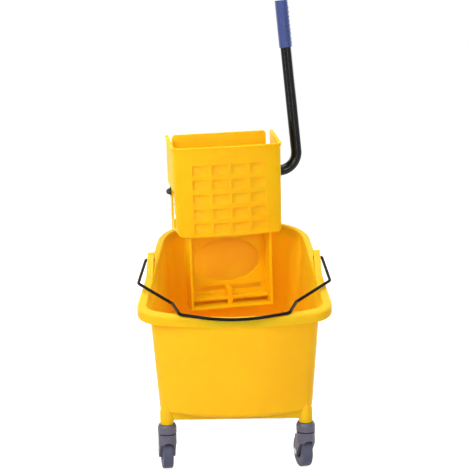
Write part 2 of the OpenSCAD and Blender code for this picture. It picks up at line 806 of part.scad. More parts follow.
module jaw_wall(out) {
    high = jaw_top_z + cheek_rise;
    difference() {
        jaw_solid(out, jaw_bottom_z, high, jaw_depth);
        jaw_solid(-jaw_t, jaw_bottom_z - over, high + over, jaw_depth + over);
    }
}

// Thicker field behind the pockets
module jaw_field() {
    field_w = columns * pocket_pitch_x;
    field_h = rows * pocket_pitch_z;
    deep = jaw_t + field_d;
    intersection() {
        difference() {
            jaw_solid(-jaw_t * half_share, jaw_bottom_z, jaw_top_z, jaw_depth);
            jaw_solid(-deep, jaw_bottom_z - over, jaw_top_z + over, jaw_depth + over);
        }
        translate([-field_w / 2, 0, jaw_bottom_z + pocket_low * half_share])
            cube([field_w, jaw_depth / 2, field_h]);
    }
}

// Side view of the jaw: its top edge rises along the cheeks, which end above the tray
function jaw_top_line(drop) = [
    [-over, jaw_top_z - drop], [jaw_corner_r * 2, jaw_top_z - drop],
    [jaw_depth + over, jaw_top_z + cheek_rise - drop]
];

module jaw_side_view() {
    top = jaw_top_line(0);
    polygon([
        top[0], [-over, jaw_bottom_z], [jaw_corner_r * 2, jaw_bottom_z],
        [jaw_corner_r * 2, jaw_bottom_z + cheek_low],
        [jaw_depth + over, jaw_bottom_z + cheek_low + jaw_corner_r],
        top[2], top[1]
    ]);
}

module jaw_bead_view(drop) {
    top = jaw_top_line(0);
    low = jaw_top_line(drop);
    polygon([top[0], low[0], low[1], low[2], top[2], top[1]]);
}

module jaw_foot_cut() {
    translate([jaw_low_w / 2 - jaw_foot_r, 0, jaw_bottom_z + jaw_foot_r]) rotate([90, 0, 0])
        translate([0, 0, -jaw_depth]) linear_extrude(jaw_depth + over) difference() {
            translate([0, -jaw_foot_r - over]) square([jaw_foot_r + over, jaw_foot_r + over]);
            circle(r = jaw_foot_r);
        }
}

// A pocket's floor is deepest at its upper left and runs out to its lower right
function jaw_face(x) = jaw_bow_r - sqrt(jaw_bow_r * jaw_bow_r - x * x);
function pocket_ring(x, z, deep) = [
    [x, -over, z], [x + pocket_w, -over, z],
    [x + pocket_w, jaw_face(x + pocket_w) + deep * run_out_share, z], [x, jaw_face(x) + deep, z]
];

module jaw_pockets() {
    x0 = -(columns - 1) / 2 * pocket_pitch_x - pocket_w / 2;
    for (c = [0 : columns - 1]) for (r = [0 : rows - 1]) {
        x = x0 + c * pocket_pitch_x;
        z = jaw_bottom_z + pocket_low + r * pocket_pitch_z;
        loft([pocket_ring(x, z, pocket_d * slope_share), pocket_ring(x, z + pocket_h, pocket_d)]);
    }
}

module screw_places() {
    for (side = [0, 1]) mirror([side, 0, 0]) for (row = screw_rows)
        translate([0, axle_y - strap_w * edge_share * half_share, jaw_bottom_z + row]) children();
}

module front_jaw() {
    color("gold") on_wringer() difference() {
        union() {
            intersection() {
                jaw_wall(0);
                plate_x(-jaw_w, jaw_w) jaw_side_view();
            }
            for (k = [1 : bead_n]) intersection() {
                jaw_wall(bead_out * k / bead_n);
                plate_x(-jaw_w, jaw_w) jaw_bead_view(bead_h * (bead_n + 1 - k) / bead_n);
            }
            intersection() {
                jaw_wall(lip_out);
                translate([-jaw_w, -over, jaw_bottom_z]) cube([jaw_w * 2, over + jaw_corner_r * 2, jaw_t]);
            }
            jaw_field();
        }
        jaw_foot_cut();
        mirror([1, 0, 0]) jaw_foot_cut();
        jaw_pockets();
        screw_places() rod_x(screw_r + run_fit, 0, screw_end + pass_gap);
    }
}

// Wringer frame: tray in the bucket, shelf, hook on the rim and straps for the axle
function oval() = [for (i = [0 : oval_n - 1])
    [oval_w / 2 * cos(360 * i / oval_n), oval_z + oval_h / 2 * sin(360 * i / oval_n)]];

module tray_panel_cuts() {
    cell_w = (tray_w - 2 * tray_t - rib_w) / 2 - rib_w;
    slot = band_h / 4;
    first = cell_w * cell_share;
    polygon(oval());
    for (side = [0, 1]) mirror([side, 0]) {
        translate([rib_w / 2, band_top - slot]) square([cell_w, slot]);
        translate([rib_w / 2, tray_z + tray_t]) square([first - tray_t, slot]);
        translate([rib_w / 2 + first, tray_z + tray_t]) square([cell_w - first, slot]);
    }
}

module tray() {
    back = tray_front + tray_depth;
    low = tray_w / 2;
    ledge_z = tray_z + tray_t + band_h / 4;
    for (side = [0, 1]) mirror([side, 0, 0])
        translate([low - tray_t, tray_front, tray_z]) cube([tray_t, tray_depth, shelf_top - tray_z]);
    translate([0, back, 0]) rotate([90, 0, 0]) linear_extrude(tray_t) difference() {
        translate([-low, tray_z]) square([tray_w, shelf_top - tray_z]);
        tray_panel_cuts();
    }
    translate([-low, back - tray_t - ledge_depth, ledge_z]) cube([tray_w, ledge_depth + tray_t, shelf_t]);
    translate([-low, tray_front, tray_z]) cube([tray_w, tray_depth, tray_t]);
    translate([-rib_w / 2, back - tray_t - ledge_depth, tray_z]) cube([rib_w, ledge_depth, band_h]);
    for (side = [-1, 1]) translate([side * hook_w / 2 - tray_t / 2, back - tray_t, tray_z])
        cube([tray_t, fin_depth + tray_t, tray_t * 2]);
}

module shelf() {
    back = axle_y + strap_w / 2;
    low = tray_w / 2;
    translate([-strap_out, tray_front + tray_depth - tray_t, 0])
        cube([strap_out * 2, back - tray_front - tray_depth + tray_t, shelf_t]);
    for (side = [0, 1]) mirror([side, 0, 0])
        translate([low - tray_t, shelf_front, 0])
            cube([strap_out - low + tray_t, back - shelf_front, shelf_t]);
    translate([-hook_w / 2, axle_y, 0]) cube([hook_w, hook_out - axle_y, shelf_t]);
    translate([-hook_w / 2, hook_in, -hook_drop]) cube([hook_w, hook_t, hook_drop + shelf_t]);
}

module strap() {
    translate([strap_in, axle_y - strap_w / 2, 0]) cube([strap_t, strap_w, strap_top_z]);
    translate([0, axle_y, axle_z]) rod_x(boss_r, strap_in, strap_out);
    translate([lug_in, hinge_y - barrel_r, 0])
        cube([strap_out - lug_in, barrel_r * 2, shelf_t + hinge_rise]);
    translate([0, hinge_y, hinge_z]) rod_x(barrel_r, lug_in, strap_out);
}

module wringer_frame() {
    color("gold") on_wringer() difference() {
        union() {
            tray();
            shelf();
            strap();
            mirror([1, 0, 0]) strap();
        }
        translate([0, axle_y, axle_z]) rod_x(bush_r + run_fit, -jaw_w, jaw_w);
        translate([0, hinge_y, hinge_z]) rod_x(hinge_r + run_fit, -strap_in, strap_in);
        screw_places() rod_x(screw_r + run_fit, 0, jaw_w);
    }
}

module jaw_screws() {
    color("silver") on_wringer() screw_places() {
        rod_x(screw_r, strap_in - screw_head_h, screw_end);
        rod_x(screw_head_r, strap_in - screw_head_h, strap_in);
    }
}

module axle_bushes() {
    color("black") on_wringer() translate([0, axle_y, axle_z]) for (side = [0, 1]) mirror([side, 0, 0])
        difference() {
            union() {
                rod_x(bush_r, strap_in, strap_out);
                rod_x(bush_flange_r, strap_out, strap_out + bush_flange_t);
            }
            rod_x(axle_r + run_fit, 0, jaw_w);
        }
}

// Press plate on its hinge rod
module plate_plan() {
    edge = plate_w / 2;
    flat_w = edge - plate_end_w;
    back = plate_t - plate_t / 4;
    front = back - plate_t;
    translate([plate_shift, 0]) polygon([
        [-edge, front + plate_end_back], [-flat_w, front], [flat_w, front],
        [edge, front + plate_end_back], [edge, back + plate_end_back], [flat_w, back],
        [-flat_w, back], [-edge, back + plate_end_back]
    ]);
}

// The plate's lower corners stay clear of the lugs at its sides
module press_plate() {
    barrel = lug_in - pass_gap;
    notch_h = barrel_r * 3;
    color("gold") on_wringer() translate([0, hinge_y, hinge_z]) difference() {
        union() {
            linear_extrude(plate_h) plate_plan();
            rod_x(barrel_r, -barrel, barrel);
        }
        rod_x(hinge_r + run_fit, -plate_w, plate_w);
        for (side = [0, 1]) mirror([side, 0, 0]) {
            translate([barrel, -over, -barrel_r]) cube([over, over * 2, notch_h]);
        }
        translate([plate_shift, 0, 0]) for (side = [0, 1]) mirror([side, 0, 0])
            translate([plate_w / 2 - plate_corner_r, over, plate_h - plate_corner_r]) rotate([90, 0, 0])
                linear_extrude(over * 2) difference() {
                    square(plate_corner_r + over);
                    circle(r = plate_corner_r);
                }
    }
}

module hinge_rod() {
    end = strap_in - pass_gap;
    color("silver") on_wringer() translate([0, hinge_y, hinge_z]) rod_x(hinge_r, -end, end);
}

// Cam: the curve that stays on the plate's flat back while lever and plate turn together
back_set = plate_t - plate_t / 4;
function plate_reach(swing) =
    (axle_y - hinge_y) * cos(swing) + (axle_z - hinge_z) * sin(swing) - back_set - pass_gap;
function reach_rate(swing) =
    -swing_ratio / (1 - swing_ratio) * (-(axle_y - hinge_y) * sin(swing) + (axle_z - hinge_z) * cos(swing));
function cam_curve() = [for (i = [0 : cam_n])
    let (swing = plate_swing * i / cam_n)
    let (a = 180 + swing - swing / swing_ratio)
    let (p = plate_reach(swing))
    let (q = reach_rate(swing))
    [p * cos(a) - q * sin(a), p * sin(a) + q * cos(a)]];

module cam() {
    difference() {
        union() {
            rod_x(cam_hub_r, -cam_t / 2, cam_t / 2);
            plate_x(-cam_t / 2, cam_t / 2) polygon(concat(
                [[0, -cam_hub_r * half_share], [-cam_hub_r * half_share, 0]],
                cam_curve(),
                [[cam_hub_r * half_share, 0]]
            ));
        }
        rod_x(axle_r, -jaw_w, jaw_w);
        translate([0, hook_at[0], hook_at[1]]) rod_x(spring_wire_r + pass_gap, -jaw_w, jaw_w);
    }
}

module left_cam() color("dimgray") on_wringer() translate([-cam_x, axle_y, axle_z]) cam();
module right_cam() color("dimgray") on_wringer() translate([cam_x, axle_y, axle_z]) cam();

module axle_rod() {
    left_end = nut_x + nut_l * half_share;
    color("silver") on_wringer() translate([0, axle_y, axle_z]) rod_x(axle_r, -left_end, crank_out);
}

module cap_nut() {
    color("black") on_wringer() translate([0, axle_y, axle_z]) difference() {
        union() {
            rod_x(nut_r, nut_r - nut_x - nut_l, -nut_x);
            translate([nut_r - nut_x - nut_l, 0, 0]) rotate([0, -90, 0]) intersection() {
                sphere(r = nut_r);
                cylinder(r = nut_r, h = nut_r);
            }
        }
        rod_x(axle_r, -nut_x - nut_l * half_share, 0);
    }
}

// Lever: a crank on the axle carries the foot of a hollow tube, which bends up and runs on to the grip
module lever_core(r, start) {
    lap = r * lap_share;
    top = lever_bend_r * [cos(lever_lean), sin(lever_lean)];
    translate([crank_x + lever_foot, 0, lever_rise + lever_bend_r]) {
        rotate([90, 0, 0]) rotate([0, 0, start - 90])
            rotate_extrude(angle = 90 + lever_lean - start) translate([lever_bend_r, 0]) circle(r = r);
        translate([top[0], 0, top[1]]) rotate([0, -lever_lean, 0]) translate([0, 0, -lap])
            cylinder(r = r * run_share, h = lever_upper + lap);
    }
}

module crank() {
    rod_x(sleeve_r, sleeve_x, crank_out);
    translate([0, 0, lever_rise]) rod_x(sleeve_r, crank_x, crank_out);
    translate([crank_x, -sleeve_r, 0]) cube([crank_t, sleeve_r * 2, lever_rise]);
}

module lever_tube() {
    color("black") on_wringer() translate([0, axle_y, axle_z]) difference() {
        union() {
            lever_core(lever_r, 0);
            translate([0, 0, lever_rise])
                rod_x(lever_r * run_share, crank_x, crank_x + lever_foot + lever_r * lap_share);
            crank();
        }
        lever_core(lever_r - lever_t, plug_angle);
        rod_x(axle_r, 0, jaw_w);
    }
}

module lever_top() {
    top = lever_bend_r * [cos(lever_lean), sin(lever_lean)];
    on_wringer() translate([crank_x + lever_foot + top[0], axle_y, axle_z + lever_rise + lever_bend_r + top[1]])
        rotate([0, -lever_lean, 0]) translate([0, 0, lever_upper]) children();
}

module lever_grip() {
    ridges = floor(grip_l / ridge_pitch) - 1;
    color("royalblue") lever_top() translate([0, 0, grip_cap - grip_l]) difference() {
        union() {
            cylinder(r = grip_r, h = grip_l);
            for (i = [1 : ridges]) translate([0, 0, i * ridge_pitch]) rotate([0, 0, -90])
                rotate_extrude(angle = 180) translate([grip_r - ridge_r * half_share, 0]) circle(r = ridge_r);
        }
        translate([0, 0, -over]) cylinder(r = lever_r, h = over + grip_l - grip_cap);
    }
}

// Torsion springs around the axle: a hooked leg enters the cam, the other bears on the strap's front edge
spring_x = cam_x + cam_t / 2 + spring_wire_r + pass_gap;
spring_end_x = spring_x + spring_pitch * curls;
function spring_point(t) = [spring_x + spring_pitch * t / 360, -spring_r * cos(t), -spring_r * sin(t)];
function spring_path() = concat(
    [[cam_x, hook_at[0], hook_at[1]], [spring_x, hook_at[0], hook_at[1]]],
    [for (i = [0 : curls * curl_rings]) spring_point(360 * i / curl_rings)],
    [[spring_end_x, bear_y, -spring_leg], [strap_out, bear_y, -spring_leg]]
);

// Least clear gap between one curl and the next, measured on the path's points
spring_pts = spring_path();
spring_gap = min([for (i = [1 : len(spring_pts) - 2]) for (j = [i + curl_rings - 2 : len(spring_pts) - 2])
    if (j > i + curl_rings / 2) norm(spring_pts[j] - spring_pts[i]) - 2 * spring_wire_r]);
echo(spring_gap = spring_gap);

function dir_at(p, i) =
    let (a = p[max(i - 1, 0)])
    let (b = p[min(i + 1, len(p) - 1)])
    (b - a) / norm(b - a);

function wire_ring(p, i) =
    let (d = dir_at(p, i))
    let (away = [0, p[i][1], p[i][2]])
    let (side = away - (away * d) * d)
    let (out = side / norm(side))
    let (up = cross(out, d))
    [for (k = [0 : wire_sides - 1])
        let (a = 360 * k / wire_sides)
        p[i] + spring_wire_r * (cos(a) * out + sin(a) * up)];

module spring() {
    p = spring_path();
    translate([0, axle_y, axle_z]) loft([for (i = [0 : len(p) - 1]) wire_ring(p, i)]);
}

module right_spring() color("silver") on_wringer() spring();
module left_spring() color("silver") on_wringer() mirror([1, 0, 0]) spring();

bucket();
caster_stems();
caster_cups();
bail_wire();
front_left_fork();
front_left_axle();
front_left_hub();
front_left_tyre();
front_right_fork();
front_right_axle();
front_right_hub();
front_right_tyre();
rear_left_fork();
rear_left_axle();
rear_left_hub();
rear_left_tyre();
rear_right_fork();
rear_right_axle();
rear_right_hub();
rear_right_tyre();
front_jaw();
wringer_frame();
jaw_screws();
axle_bushes();
press_plate();
hinge_rod();
axle_rod();
left_cam();
right_cam();
lever_tube();
lever_grip();
cap_nut();
left_spring();
right_spring();
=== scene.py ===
import math

import bmesh
import bpy
from mathutils import Matrix, Vector


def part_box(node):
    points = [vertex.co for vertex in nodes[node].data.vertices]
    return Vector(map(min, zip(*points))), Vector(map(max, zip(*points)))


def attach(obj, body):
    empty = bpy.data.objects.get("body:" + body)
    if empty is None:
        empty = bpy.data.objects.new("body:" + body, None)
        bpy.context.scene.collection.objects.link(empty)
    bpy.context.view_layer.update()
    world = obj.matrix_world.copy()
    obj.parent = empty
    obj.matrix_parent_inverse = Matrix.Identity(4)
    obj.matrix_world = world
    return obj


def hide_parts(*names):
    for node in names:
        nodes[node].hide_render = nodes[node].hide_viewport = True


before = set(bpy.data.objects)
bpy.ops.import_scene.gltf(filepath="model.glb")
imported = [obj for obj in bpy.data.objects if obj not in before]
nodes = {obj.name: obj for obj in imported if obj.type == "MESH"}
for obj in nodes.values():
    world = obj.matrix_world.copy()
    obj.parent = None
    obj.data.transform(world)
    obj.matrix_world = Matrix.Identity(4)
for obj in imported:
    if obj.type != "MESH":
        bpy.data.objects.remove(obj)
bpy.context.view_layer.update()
scene = bpy.context.scene
MM = 0.001

# The rim's front edge in the row frame: every bucket length below is counted from it, in millimetres
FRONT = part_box("bucket")[0].y / MM


def place(x, y, z):
    return Vector((x * MM, (y + FRONT) * MM, z * MM))


def new_object(name, bm, smooth=True):
    """A mesh object from a bmesh, with its faces turned outwards."""
    bmesh.ops.recalc_face_normals(bm, faces=bm.faces)
    mesh = bpy.data.meshes.new(name)
    for face in bm.faces:
        face.smooth = smooth
    bm.to_mesh(mesh)
    bm.free()
    obj = bpy.data.objects.new(name, mesh)
    scene.collection.objects.link(obj)
    return obj


def bevel(obj, width, segments=2, angle=35):
    mod = obj.modifiers.new("edge", "BEVEL")
    mod.width = width * MM
    mod.segments = segments
    mod.limit_method = "ANGLE"
    mod.angle_limit = math.radians(angle)


# Materials


def principled(name):
    mat = bpy.data.materials.new(name)
    mat.use_nodes = True
    tree = mat.node_tree
    shader = tree.nodes["Principled BSDF"]
    return mat, tree, shader


def noise(tree, scale, detail, rough, coords):
    node = tree.nodes.new("ShaderNodeTexNoise")
    node.inputs["Scale"].default_value = scale
    node.inputs["Detail"].default_value = detail
    node.inputs["Roughness"].default_value = rough
    tree.links.new(coords, node.inputs["Vector"])
    return node.outputs["Fac"]


def object_coords(tree, scale=(1, 1, 1)):
    tex = tree.nodes.new("ShaderNodeTexCoord")
    mapping = tree.nodes.new("ShaderNodeMapping")
    mapping.inputs["Scale"].default_value = scale
    tree.links.new(tex.outputs["Object"], mapping.inputs["Vector"])
    return mapping.outputs["Vector"]


def ramp(tree, value, stops):
    node = tree.nodes.new("ShaderNodeValToRGB")
    while len(node.color_ramp.elements) < len(stops):
        node.color_ramp.elements.new(0.5)
    for element, (pos, color) in zip(node.color_ramp.elements, stops):
        element.position = pos
        element.color = (*color, 1.0)
    tree.links.new(value, node.inputs["Fac"])
    return node.outputs["Color"]


def bump(tree, shader, height, strength, distance, before=None):
    node = tree.nodes.new("ShaderNodeBump")
    node.inputs["Strength"].default_value = strength
    node.inputs["Distance"].default_value = distance
    tree.links.new(height, node.inputs["Height"])
    if before is not None:
        tree.links.new(before, node.inputs["Normal"])
    tree.links.new(node.outputs["Normal"], shader.inputs["Normal"])
    return node.outputs["Normal"]


# Depth of the light inside the yellow plastic, in metres, and its share for each colour
GLOW_DEPTH = 0.014
GLOW_RADIUS = (1.0, 0.5, 0.05)


def plastic(name, low, high, rough, grain, scuffs=0.5, glow=0.0, shine=0.5):
    """Moulded plastic: a broad drift of colour, patchy gloss, fine grain and faint upright scuffs."""
    mat, tree, shader = principled(name)
    coords = object_coords(tree)
    broad = noise(tree, 9.0, 3.0, 0.5, coords)
    color = ramp(tree, broad, [(0.3, low), (0.7, high)])
    tree.links.new(color, shader.inputs["Base Color"])
    patches = noise(tree, 26.0, 6.0, 0.65, coords)
    gloss = ramp(tree, patches, [(0.3, (rough - 0.05,) * 3), (0.72, (rough + 0.09,) * 3)])
    tree.links.new(gloss, shader.inputs["Roughness"])
    fine = noise(tree, grain, 2.0, 0.5, coords)
    first = bump(tree, shader, fine, 0.16, 0.0004)
    streaks = object_coords(tree, (1.0, 1.0, 0.12))
    marks = noise(tree, 240.0, 2.0, 0.7, streaks)
    bump(tree, shader, marks, 0.05 * scuffs, 0.0006, first)
    shader.inputs["IOR"].default_value = 1.49
    shader.inputs["Specular IOR Level"].default_value = shine
    if glow:
        shader.inputs["Subsurface Weight"].default_value = glow
        shader.inputs["Subsurface Radius"].default_value = GLOW_RADIUS
        shader.inputs["Subsurface Scale"].default_value = GLOW_DEPTH
    return mat


def metal(name, color, rough, stretch):
    """Plated metal with drawn streaks along one axis."""
    mat, tree, shader = principled(name)
    coords = object_coords(tree, stretch)
    streak = noise(tree, 180.0, 3.0, 0.6, coords)
    tone = ramp(tree, streak, [(0.3, tuple(c * 0.82 for c in color)), (0.7, color)])
    tree.links.new(tone, shader.inputs["Base Color"])
    gloss = ramp(tree, streak, [(0.3, (rough,) * 3), (0.7, (rough + 0.12,) * 3)])
    tree.links.new(gloss, shader.inputs["Roughness"])
    bump(tree, shader, streak, 0.06, 0.0004)
    shader.inputs["Metallic"].default_value = 1.0
    return mat


def coated(name, color, rough, shine):
    """A dark coat over metal, with a slight orange peel."""
    mat, tree, shader = principled(name)
    coords = object_coords(tree)
    mottle = noise(tree, 60.0, 4.0, 0.6, coords)
    low = tuple(c * 0.8 for c in color)
    high = tuple(c * 1.25 for c in color)
    tone = ramp(tree, mottle, [(0.3, low), (0.7, high)])
    tree.links.new(tone, shader.inputs["Base Color"])
    gloss = ramp(tree, mottle, [(0.3, (rough,) * 3), (0.75, (rough + 0.08,) * 3)])
    tree.links.new(gloss, shader.inputs["Roughness"])
    peel = noise(tree, 900.0, 2.0, 0.5, coords)
    bump(tree, shader, peel, 0.05, 0.0003)
    shader.inputs["Specular IOR Level"].default_value = shine
    return mat


yellow = plastic("yellow_bucket", (0.98, 0.505, 0.011), (1.0, 0.53, 0.013), 0.36, 1500.0, 0.7,
                 glow=0.85, shine=0.1)
wringer_yellow = plastic("yellow_wringer", (0.98, 0.545, 0.003), (1.0, 0.57, 0.005), 0.42, 1700.0, 0.7,
                         glow=0.85, shine=0.12)
grey = plastic("caster_grey", (0.084, 0.077, 0.112), (0.100, 0.092, 0.132), 0.42, 1800.0)
tyre_grey = plastic("tyre_grey", (0.052, 0.055, 0.098), (0.064, 0.067, 0.116), 0.58, 1300.0)
blue = plastic("grip_blue", (0.022, 0.043, 0.18), (0.027, 0.052, 0.215), 0.44, 2200.0)
dark = plastic("fitting_black", (0.012, 0.012, 0.014), (0.022, 0.022, 0.025), 0.4, 1600.0)
tube_black = coated("tube_black", (0.002, 0.002, 0.0025), 0.06, 0.2)
wire_black = coated("wire_black", (0.003, 0.003, 0.0035), 0.2, 0.08)
steel = metal("zinc_steel", (0.62, 0.63, 0.66), 0.26, (1.0, 1.0, 0.06))

# The look of each solid that is shown as it is, and the width of its rounded edges in millimetres
CAD_LOOKS = {
    "caster_stems": (steel, 0.3),
    "caster_cups": (grey, 0.9),
    "bail_wire": (wire_black, 0),
    "wringer_frame": (wringer_yellow, 0.9),
    "front_jaw": (wringer_yellow, 0.9),
    "press_plate": (wringer_yellow, 1.0),
    "jaw_screws": (steel, 0.5),
    "axle_bushes": (dark, 0.4),
    "hinge_rod": (steel, 0.4),
    "left_spring": (steel, 0),
    "right_spring": (steel, 0),
    "axle_rod": (steel, 0.4),
    "lever_tube": (tube_black, 0),
    "lever_grip": (blue, 0.5),
    "left_cam": (dark, 0.6),
    "right_cam": (dark, 0.6),
    "cap_nut": (dark, 0.3),
}
for corner in ("front_left", "front_right", "rear_left", "rear_right"):
    CAD_LOOKS[corner + "_fork"] = (grey, 0.8)
    CAD_LOOKS[corner + "_axle"] = (steel, 0.4)
    CAD_LOOKS[corner + "_hub"] = (grey, 0.5)
    CAD_LOOKS[corner + "_tyre"] = (tyre_grey, 0)


FLAT_ANGLE, CAD_EDGE_ANGLE = 0.6, 40


def paint(obj, mat):
    obj.data.materials.clear()
    obj.data.materials.append(mat)


for name, (mat, width) in CAD_LOOKS.items():
    obj = nodes[name]
    paint(obj, mat)
    if width:
        flat = obj.modifiers.new("flat", "DECIMATE")
        flat.decimate_type = "DISSOLVE"
        flat.angle_limit = math.radians(FLAT_ANGLE)
        bevel(obj, width, angle=CAD_EDGE_ANGLE)


# Bucket shell: the same outlines as the solid, drawn finer and with every edge rounded
RIM_FRONT_Z, RIM_RISE, RIM_LEN = 310.5, 105.5, 436.0
FLANGE_T, APRON_H, RIM_EDGE = 3.2, 18.5, 4.0
TUB_T, TUB_BOTTOM, TUB_EDGE = 3.0, 115.0, 9.0
FLOOR_Z = TUB_BOTTOM + TUB_T
REAR_DRAFT, FLOOR_MARGIN = 24, 24
NECK_EDGE, LIP_EDGE, MOUTH_EDGE = 0.6, 0.8, 3
BOW_N, CORNER_N, REAR_N = 26, 16, 30


def inset(o, d):
    """An outline moved inwards by d on every side."""
    return (o[0] - d, o[1] + d, o[2], o[3] - d, o[4] - d, o[5] - d, o[6] - d)


# Outlines: half width, front, bow angle, front corner radius, rear half width, rear, rear corner radius
RIM = (183.0, 0.0, 13.0, 47.0, 159.5, RIM_LEN, 96.0)
NECK = (168.0, 5.5, 21.0, 32.0, 148.5, RIM_LEN - 7, 85.0)
BODY_TOP = (159.5, 2.0, 28.0, 32.0, NECK[4], NECK[5], NECK[6])
BODY_LOW = (146.0, 13.0, 28.0, 32.0, NECK[4] - REAR_DRAFT, NECK[5] - REAR_DRAFT, NECK[6] - REAR_DRAFT)


def outline(o):
    """Points round an outline, seen from above: bowed front, corners, straight sides and round rear."""
    w, front, bow, r0, rear_w, rear, r1 = o
    bow = math.radians(bow)
    xe = w - r0 + r0 * math.sin(bow)
    ye = front + xe * math.tan(bow) / 2
    c0 = Vector((w - r0, ye + r0 * math.cos(bow)))
    c1 = Vector((rear_w - r1, rear - r1))
    d = c1 - c0
    side = math.atan2(d.y, d.x) - math.acos((r0 - r1) / d.length)
    half = [(xe * i / BOW_N, front + (ye - front) * (i / BOW_N) ** 2) for i in range(BOW_N)]
    front_corner = (c0, r0, bow - math.pi / 2, side, CORNER_N)
    rear_corner = (c1, r1, side, math.pi / 2, REAR_N)
    for c, r, a0, a1, n in (front_corner, rear_corner):
        for i in range(n + 1):
            a = a0 + (a1 - a0) * i / n
            half.append((c.x + r * math.cos(a), c.y + r * math.sin(a)))
    half.append((0.0, rear))
    return half + [(-x, y) for x, y in reversed(half[1:-1])]


def rim_z(y):
    return RIM_FRONT_Z + RIM_RISE * y / RIM_LEN


def level_ring(o, z):
    return [place(x, y, z) for x, y in outline(o)]


def rim_ring(o, z):
    return [place(x, y, rim_z(y) + z) for x, y in outline(o)]


def between(low, high, t):
    return [a.lerp(b, t) for a, b in zip(low, high)]


def quarter(n):
    """Angles of a quarter turn in n steps."""
    return [math.pi / 2 * i / n for i in range(n + 1)]


def skin(name, rings):
    """A closed skin over a row of rings."""
    bm = bmesh.new()
    rows = [[bm.verts.new(p) for p in ring] for ring in rings]
    for low, high in zip(rows, rows[1:]):
        n = len(low)
        for i in range(n):
            k = (i + 1) % n
            bm.faces.new((low[i], low[k], high[k], high[i]))
    bm.faces.new(reversed(rows[0]))
    bm.faces.new(rows[-1])
    return new_object(name, bm)


def bucket_rings():
    """Rings from under the floor, up the outside, over the rim and down the inside."""
    lip = -APRON_H - FLANGE_T
    rings = [level_ring(inset(BODY_LOW, TUB_EDGE + FLOOR_MARGIN), TUB_BOTTOM)]
    for a in quarter(6):
        base = inset(BODY_LOW, TUB_EDGE * (1 - math.sin(a)))
        rings.append(level_ring(base, TUB_BOTTOM + TUB_EDGE * (1 - math.cos(a))))
    low, high = rings[-1], rim_ring(BODY_TOP, lip)
    rings += [between(low, high, t) for t in (0.02, 0.2, 0.4, 0.6, 0.8, 0.97)]
    neck = rim_ring(NECK, -FLANGE_T - NECK_EDGE)
    rings.append(high)
    rings += [between(high, neck, t) for t in (0.06, 0.3, 0.6, 0.92)]
    rings += [neck, rim_ring(inset(NECK, -NECK_EDGE), -FLANGE_T)]
    rings.append(rim_ring(inset(RIM, FLANGE_T + NECK_EDGE), -FLANGE_T))
    rings.append(rim_ring(inset(RIM, FLANGE_T), -FLANGE_T - NECK_EDGE))
    rings.append(rim_ring(inset(RIM, FLANGE_T), -APRON_H + LIP_EDGE))
    for a in quarter(3):
        inner_lip = inset(RIM, FLANGE_T - LIP_EDGE * (1 - math.cos(a)))
        rings.append(rim_ring(inner_lip, -APRON_H + LIP_EDGE * (1 - math.sin(a))))
    for a in quarter(3):
        outer_lip = inset(RIM, LIP_EDGE * (1 - math.sin(a)))
        rings.append(rim_ring(outer_lip, -APRON_H + LIP_EDGE * (1 - math.cos(a))))
    for a in quarter(7):
        rings.append(rim_ring(inset(RIM, RIM_EDGE * (1 - math.cos(a))), -RIM_EDGE * (1 - math.sin(a))))
    mouth = rim_ring(inset(NECK, TUB_T - MOUTH_EDGE), 0)
    rings.append(between(rings[-1], mouth, 0.5))
    for a in quarter(5):
        rounded = inset(NECK, TUB_T - MOUTH_EDGE * (1 - math.sin(a)))
        rings.append(rim_ring(rounded, -MOUTH_EDGE * (1 - math.cos(a))))
    inner_neck = rings[-1]
    inner_top = rim_ring(inset(BODY_TOP, TUB_T), lip)
    rings += [between(inner_neck, inner_top, t) for t in (0.06, 0.35, 0.7, 0.95)]
    inner_low = level_ring(inset(BODY_LOW, TUB_T), FLOOR_Z + TUB_EDGE)
    rings += [between(inner_top, inner_low, t) for t in (0.0, 0.03, 0.2, 0.4, 0.6, 0.8, 0.98)]
    for a in quarter(6):
        base = inset(BODY_LOW, TUB_T + TUB_EDGE * (1 - math.cos(a)))
        rings.append(level_ring(base, FLOOR_Z + TUB_EDGE * (1 - math.sin(a))))
    rings.append(level_ring(inset(BODY_LOW, TUB_T + TUB_EDGE + FLOOR_MARGIN), FLOOR_Z))
    return rings


tub = skin("bucket_tub", bucket_rings())
tub_additions = []


def lathe(name, profile, centre, steps=48):
    """A closed turned form from a profile of radius and height."""
    bm = bmesh.new()
    rows = []
    for r, z in profile:
        row = []
        for i in range(steps):
            a = 2 * math.pi * i / steps
            row.append(bm.verts.new(centre + Vector((r * math.cos(a), r * math.sin(a), z)) * MM))
        rows.append(row)
    for low, high in zip(rows, rows[1:]):
        for i in range(steps):
            k = (i + 1) % steps
            bm.faces.new((low[i], low[k], high[k], high[i]))
    bm.faces.new(reversed(rows[0]))
    bm.faces.new(rows[-1])
    return new_object(name, bm)


def applied(obj):
    """The object's mesh with its modifiers carried out."""
    bpy.context.view_layer.update()
    return bpy.data.meshes.new_from_object(obj.evaluated_get(bpy.context.evaluated_depsgraph_get()))


def combine(obj, operation, tool, own=False):
    """Carry out a boolean on the object; own also resolves where the tool's pieces cross each other."""
    step = obj.modifiers.new("combine", "BOOLEAN")
    step.operation = operation
    step.object = tool
    step.solver = "EXACT"
    step.use_self = own
    mesh = applied(obj)
    obj.modifiers.clear()
    obj.data = mesh


